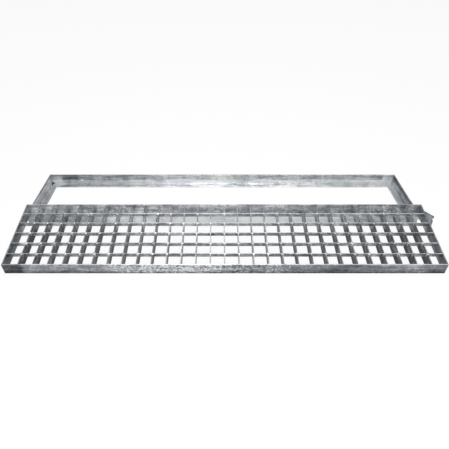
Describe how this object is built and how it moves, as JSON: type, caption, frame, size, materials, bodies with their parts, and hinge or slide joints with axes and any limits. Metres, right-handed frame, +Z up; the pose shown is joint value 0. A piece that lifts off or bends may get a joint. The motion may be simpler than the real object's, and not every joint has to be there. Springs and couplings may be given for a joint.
{
  "type": "channel drain grate",
  "caption": "Long galvanised mesh grate for a drainage channel, leaning on the front upstand of its open angle frame.",
  "frame": {"origin": "centre of the whole footprint, at floor level: the frame's underside and the grate's front foot are at z = 0", "axes": "+X along the channel, +Y across it from the leaning grate's foot towards the frame's rear rail, +Z up"},
  "size_m": [1.0476, 0.4051, 0.0634],
  "materials": {
    "bearing_bars": "hot-dip galvanised, matt to bright spangle",
    "cross_bars": "hot-dip galvanised, matt to bright spangle",
    "grate_rim": "hot-dip galvanised, matt to bright spangle",
    "frame": "hot-dip galvanised, matt to bright spangle",
    "welds": "hot-dip galvanised, matt to bright spangle",
    "lug": "hot-dip galvanised, matt to bright spangle"
  },
  "bodies": {
    "root": {"bearing_bar_01": "bearing_bars", "bearing_bar_02": "bearing_bars", "bearing_bar_03": "bearing_bars", "bearing_bar_04": "bearing_bars", "bearing_bar_05": "bearing_bars", "bearing_bar_06": "bearing_bars", "bearing_bar_07": "bearing_bars", "bearing_bar_08": "bearing_bars", "bearing_bar_09": "bearing_bars", "bearing_bar_10": "bearing_bars", "bearing_bar_11": "bearing_bars", "bearing_bar_12": "bearing_bars", "bearing_bar_13": "bearing_bars", "bearing_bar_14": "bearing_bars", "bearing_bar_15": "bearing_bars", "bearing_bar_16": "bearing_bars", "bearing_bar_17": "bearing_bars", "bearing_bar_18": "bearing_bars", "bearing_bar_19": "bearing_bars", "bearing_bar_20": "bearing_bars", "bearing_bar_21": "bearing_bars", "bearing_bar_22": "bearing_bars", "bearing_bar_23": "bearing_bars", "bearing_bar_24": "bearing_bars", "bearing_bar_25": "bearing_bars", "bearing_bar_26": "bearing_bars", "bearing_bar_27": "bearing_bars", "bearing_bar_28": "bearing_bars", "bearing_bar_29": "bearing_bars", "cross_bar_1": "cross_bars", "cross_bar_2": "cross_bars", "cross_bar_3": "cross_bars", "cross_bar_4": "cross_bars", "cross_bar_5": "cross_bars", "edge_bar_front": "grate_rim", "edge_bar_rear": "grate_rim", "end_bar_left": "grate_rim", "end_bar_right": "grate_rim", "frame_rail_front": "frame", "frame_rail_rear": "frame", "frame_rail_left": "frame", "frame_rail_right": "frame", "bar_end_welds_front": "welds", "bar_end_welds_rear": "welds", "corner_welds": "welds", "anchor_lug": "lug"}
  },
  "joints": []
}
